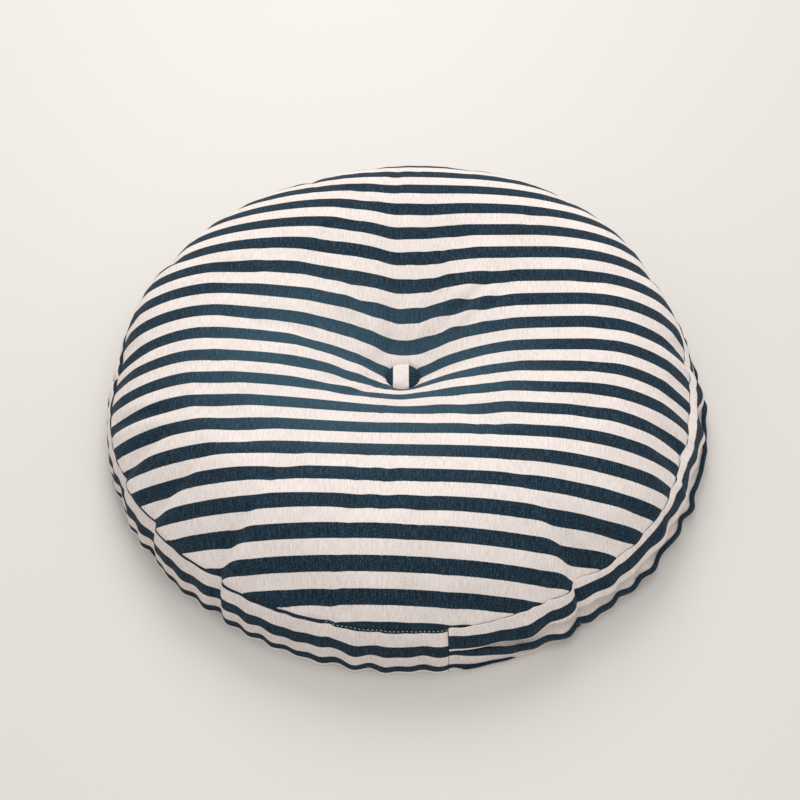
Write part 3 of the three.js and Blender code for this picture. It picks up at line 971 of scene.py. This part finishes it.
def enamel(name, colour, worn):
    g = Graph(name)
    grain = object_noise(g, 900, 4.0)
    wear_and_painted_glare = g.blend(g.ramp(grain, 0.62, 0.7), colour, worn)
    material = g.finish(wear_and_painted_glare, g.math("ADD", g.math("MULTIPLY", grain, 0.25), 0.25), grain, 0.12, 0.05 * MM)
    g.shader.inputs["Metallic"].default_value = 0.55
    return material


def pressed_steel(name):
    g = Graph(name)
    grain = object_noise(g, 1400, 4.0)
    colour = g.blend(grain, (0.42, 0.43, 0.45), (0.62, 0.63, 0.64))
    material = g.finish(colour, g.math("ADD", g.math("MULTIPLY", grain, 0.3), 0.22), grain, 0.1, 0.05 * MM)
    g.shader.inputs["Metallic"].default_value = 1.0
    return material


def nylon(name, colour, light):
    g = Graph(name)
    grain = object_noise(g, 1800, 2.0)
    return g.finish(g.blend(grain, colour, light), g.math("ADD", g.math("MULTIPLY", grain, 0.2), 0.32))


def floor_material():
    g = Graph("pale_floor")
    cloud = object_noise(g, 1.4, 2.0)
    return g.finish(g.blend(cloud, (0.615, 0.58, 0.538), (0.645, 0.61, 0.567)), 0.5)


def wear(piece, material):
    piece.data.materials.clear()
    piece.data.materials.append(material)


# ---- put the cushion together ----


def soft(piece, body, nodes=()):
    """Rides a body with a mesh of its own, and stands for its CAD nodes."""
    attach(piece, body)
    shade_smooth(piece)
    if nodes:
        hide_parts(*nodes)
    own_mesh(piece)


def hard(piece, body, node):
    """Rides a body as it is, and stands for one CAD node."""
    shade_smooth(piece)
    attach(piece, body)
    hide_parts(node)


CLOTH_THICK = 1.0 * MM

# the top's navy carries a painted glare patch, painted light rather than wear
STRIPED_TOP = cloth("striped_cloth_top", stripe_shift=-2.0 * MM, painted_glare=0.55)
STRIPED_BAND = cloth("striped_cloth_band", stripe_shift=9.9 * MM)

top = make_top()
settle_top(top)
subdivide(top, 1)
wear(top, STRIPED_TOP)
soft(top, "top_cover", ["top_panel"])

for make, nodes in ((make_plain_band, ["band_plain"]), (make_zip_upper, ["zip_band_upper"]),
                    (make_zip_lower, ["zip_band_lower"])):
    strip = make()
    thicken(strip, CLOTH_THICK)
    subdivide(strip, 1)
    wear(strip, STRIPED_BAND)
    soft(strip, "base", nodes)

under = make_bottom()
subdivide(under, 1)
wear(under, STRIPED_TOP)
soft(under, "base", ["bottom_panel"])

LINING = cloth("lining_cloth", plain=((0.66, 0.62, 0.54), (0.52, 0.48, 0.41)))
FIBRE = cloth("fibre_wadding", plain=((0.85, 0.84, 0.81), (0.74, 0.73, 0.70)))
bag = make_pad("pad_bag", 8 * MM)
wear(bag, LINING)
soft(bag, "base", ["inner_bag"])
wadding = make_pad("pad_filling", 10.5 * MM)
wear(wadding, FIBRE)
soft(wadding, "base", ["filling"])

BUTTON_CLOTH = cloth("button_cloth", stripe_shift=-4.5 * MM)
button = make_button("button_cover_top", BUTTON_LOW, BUTTON_HIGH, 1)
subdivide(button, 1)
wear(button, BUTTON_CLOTH)
hard(button, "top_button", "top_button_cover")

under_button = make_button("button_cover_bottom", UNDER_BUTTON_LOW, UNDER_BUTTON_HIGH, -1)
subdivide(under_button, 1)
wear(under_button, BUTTON_CLOTH)
hard(under_button, "base", "bottom_button_cover")

TWINE = thread_material("twine", (0.78, 0.70, 0.55), (0.5, 0.43, 0.32))
strands = make_strands()
wear(strands, TWINE)
soft(strands, "base", ["twine_strand_front", "twine_strand_rear"])

thread = seam_stitches("seam_stitches", math.radians(256), math.radians(278), 1.2 * MM)
wear(thread, TWINE)
soft(thread, "base")

TAPE = cloth("zip_tape", plain=((0.014, 0.028, 0.05), (0.03, 0.05, 0.08)))
COIL = nylon("zip_nylon", (0.012, 0.022, 0.04), (0.025, 0.04, 0.065))
for side, way in (("upper", 1), ("lower", -1)):
    tape = make_tape(f"tape_{side}", f"zip_tape_{side}")
    wear(tape, TAPE)
    hard(tape, "zip_chain", f"zip_tape_{side}")
    coil = make_coil(f"coil_{side}", way)
    wear(coil, COIL)
    hard(coil, "zip_chain", f"zip_coil_{side}")

ENAMEL = enamel("zip_enamel", (0.018, 0.03, 0.05), (0.35, 0.34, 0.32))
STEEL = pressed_steel("pressed_steel")
for name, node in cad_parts.items():
    if name.startswith(("zip_slider", "zip_pull", "zip_stop")):
        wear(node, ENAMEL)
    elif name.startswith(("twine_hairpin", "twine_knot")):
        wear(node, TWINE)
    elif name.endswith(("_mould", "_back", "_eye")):
        wear(node, STEEL)


# ---- floor, camera and light ----


FLOOR_HALF = 6  # half the width of the floor, in metres

ELEVATION = math.radians(50.3)
DISTANCE = 1.61
AIM = Vector((-2.4 * MM, -18.3 * MM, 48 * MM))
SENSOR, LENS = 36, 85.5

WINDOW = {"place": (-0.2, 1.9, 1.8), "size": 1.4, "power": 32, "colour": (1.0, 0.995, 0.99)}
CEILING = {"place": (0.35, -0.5, 2.6), "size": 2.2, "power": 20}
SKY, SKY_STRENGTH = (0.985, 0.99, 1.0, 1), 0.72


def make_floor():
    bm = bmesh.new()
    bmesh.ops.create_grid(bm, x_segments=1, y_segments=1, size=FLOOR_HALF)
    piece = new_piece(bm, "floor")
    wear(piece, floor_material())


def make_camera():
    camera = bpy.data.objects.new("camera", bpy.data.cameras.new("camera"))
    camera.data.sensor_width, camera.data.lens = SENSOR, LENS
    camera.location = AIM + DISTANCE * Vector((0, -math.cos(ELEVATION), math.sin(ELEVATION)))
    camera.rotation_euler = (math.pi / 2 - ELEVATION, 0, 0)
    bpy.context.scene.collection.objects.link(camera)
    bpy.context.scene.camera = camera


def make_light(name, place, size, power, colour=(1, 1, 1)):
    light = bpy.data.lights.new(name, "AREA")
    light.shape, light.size, light.energy, light.color = "DISK", size, power, colour
    lamp = bpy.data.objects.new(name, light)
    lamp.location = place
    lamp.rotation_euler = (Vector((0, 0, 0)) - Vector(place)).to_track_quat("-Z", "Y").to_euler()
    bpy.context.scene.collection.objects.link(lamp)


def make_world():
    world = bpy.data.worlds.new("soft_daylight")
    world.use_nodes = True
    sky = world.node_tree.nodes["Background"]
    sky.inputs["Color"].default_value = SKY
    sky.inputs["Strength"].default_value = SKY_STRENGTH
    bpy.context.scene.world = world


make_floor()
make_camera()
make_light("window", **WINDOW)
make_light("ceiling", **CEILING)
make_world()
bpy.context.scene.view_settings.view_transform = "Standard"
